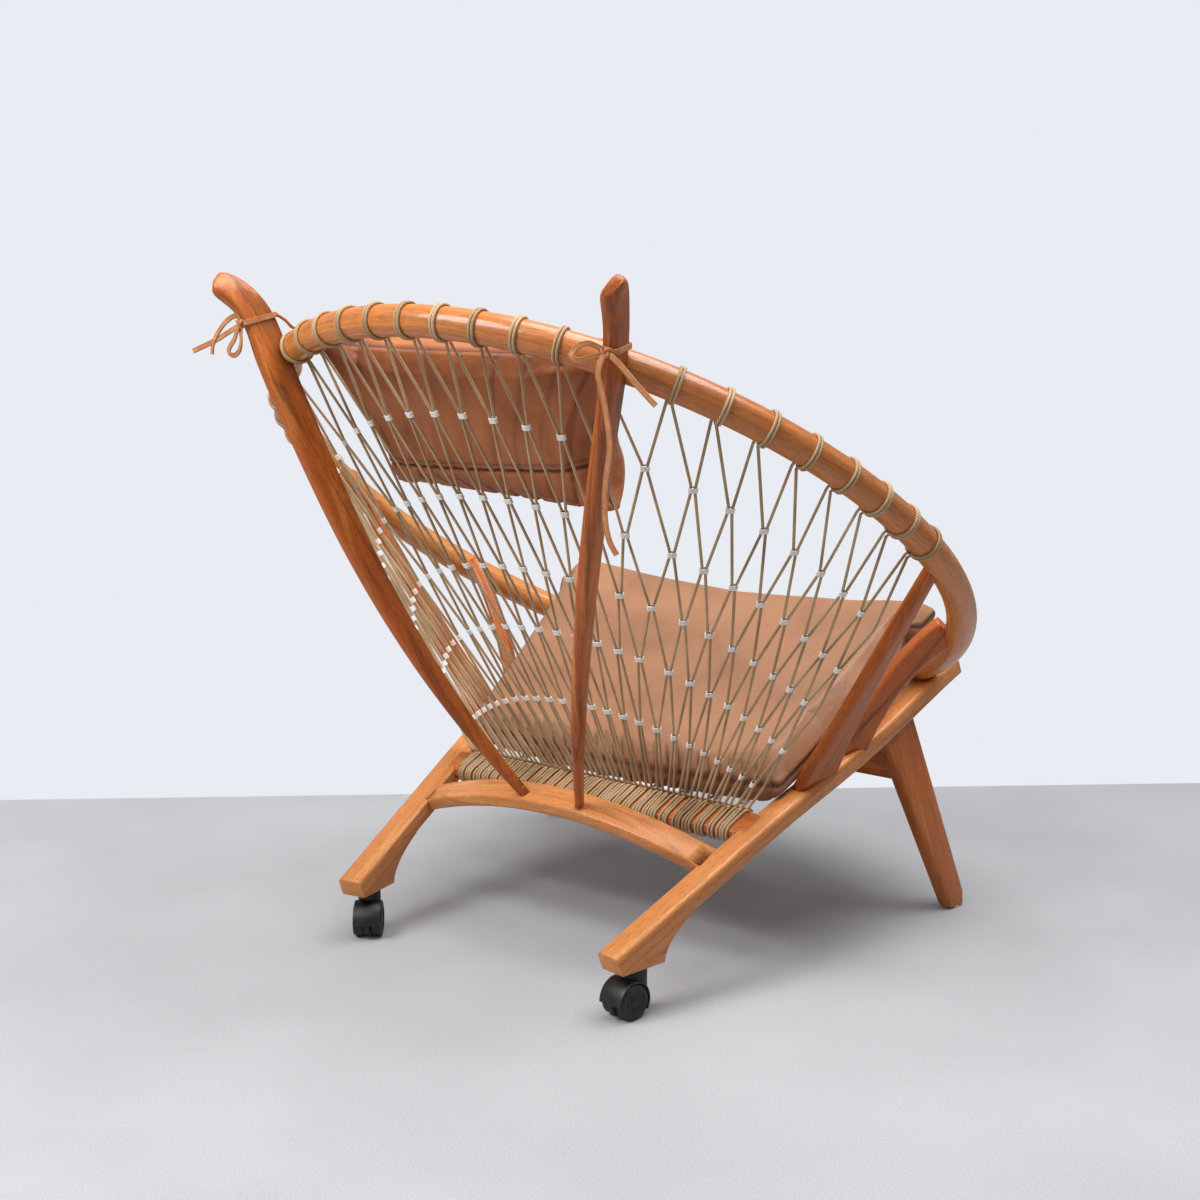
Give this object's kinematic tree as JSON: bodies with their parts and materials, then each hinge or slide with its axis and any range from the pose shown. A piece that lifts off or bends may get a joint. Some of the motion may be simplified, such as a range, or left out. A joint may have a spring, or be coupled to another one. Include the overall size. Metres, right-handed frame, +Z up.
{
  "type": "hoop chair",
  "caption": "Low easy chair: a tilted bent-wood hoop on a raked timber frame with rear casters, a corded net back and seat, a loose leather seat cushion and a strapped neck cushion",
  "frame": {"origin": "on the floor, below the middle of the chair's overall box", "axes": "+Z up, -Y the way a sitter faces, +X the sitter's left"},
  "size_m": [1.1256, 0.9304, 0.997],
  "materials": {
    "wood": "satin oil",
    "cord": "twisted cord",
    "clip": "matt",
    "seat_leather": "matt leather",
    "neck_leather": "matt leather",
    "strap_leather": "cut leather",
    "steel": "zinc",
    "black": "moulded"
  },
  "bodies": {
    "frame": {"hoop": "wood", "side_rail_left": "wood", "side_rail_right": "wood", "foot_block_left": "wood", "foot_block_right": "wood", "front_leg_left": "wood", "front_leg_right": "wood", "front_apron": "wood", "glide_left": "clip", "glide_right": "clip", "rear_stretcher": "wood", "back_upright_left": "wood", "back_upright_right": "wood", "hoop_strut_left": "wood", "hoop_strut_right": "wood", "seat_brace_left": "wood", "seat_brace_right": "wood", "seat_back_rail": "wood", "rail_winding": "cord", "hoop_lashings": "cord", "back_net_left_outer": "cord", "back_net_left": "cord", "back_net_centre": "cord", "back_net_right": "cord", "back_net_right_outer": "cord", "back_net_clips": "clip", "seat_net_left": "cord", "seat_net_centre": "cord", "seat_net_right": "cord", "seat_net_clips": "clip", "neck_cushion": "neck_leather", "neck_strap_left": "strap_leather", "neck_strap_right": "strap_leather", "hoop_screws": "steel", "strut_screws": "steel", "strut_dowels": "wood", "upright_screws": "steel", "upright_dowels": "wood", "stretcher_dowels": "wood", "seat_rail_dowels": "wood", "leg_dowels": "wood", "apron_dowels": "wood", "caster_socket_left": "steel", "caster_socket_right": "steel"},
    "cushion": {"seat_cushion": "seat_leather"},
    "swivel_left": {"caster_stem_left": "steel", "caster_hood_left": "black", "caster_axle_left": "steel"},
    "wheel_inner_left": {"wheel_inner_left": "black"},
    "wheel_outer_left": {"wheel_outer_left": "black"},
    "swivel_right": {"caster_stem_right": "steel", "caster_hood_right": "black", "caster_axle_right": "steel"},
    "wheel_inner_right": {"wheel_inner_right": "black"},
    "wheel_outer_right": {"wheel_outer_right": "black"}
  },
  "joints": [
    {"name": "caster_swivel_left", "type": "hinge", "parent": "frame", "child": "swivel_left", "pos_m": [0.25285, 0.28376, 0.07], "axis": [0, 0, 1], "continuous": true},
    {"name": "wheel_spin_inner_left", "type": "hinge", "parent": "swivel_left", "child": "wheel_inner_left", "pos_m": [0.24115, 0.29873, 0.025], "axis": [0.788, 0.6157, 0], "continuous": true},
    {"name": "wheel_spin_outer_left", "type": "hinge", "parent": "swivel_left", "child": "wheel_outer_left", "pos_m": [0.24115, 0.29873, 0.025], "axis": [0.788, 0.6157, 0], "continuous": true},
    {"name": "caster_swivel_right", "type": "hinge", "parent": "frame", "child": "swivel_right", "pos_m": [-0.25285, 0.28376, 0.07], "axis": [0, 0, 1], "continuous": true},
    {"name": "wheel_spin_inner_right", "type": "hinge", "parent": "swivel_right", "child": "wheel_inner_right", "pos_m": [-0.25021, 0.30257, 0.025], "axis": [-0.9903, 0.1392, 0], "continuous": true},
    {"name": "wheel_spin_outer_right", "type": "hinge", "parent": "swivel_right", "child": "wheel_outer_right", "pos_m": [-0.25021, 0.30257, 0.025], "axis": [-0.9903, 0.1392, 0], "continuous": true},
    {"name": "cushion_lift", "type": "slide", "parent": "frame", "child": "cushion", "axis": [0, 0, 1], "range_m": [0, 0.12]}
  ]
}
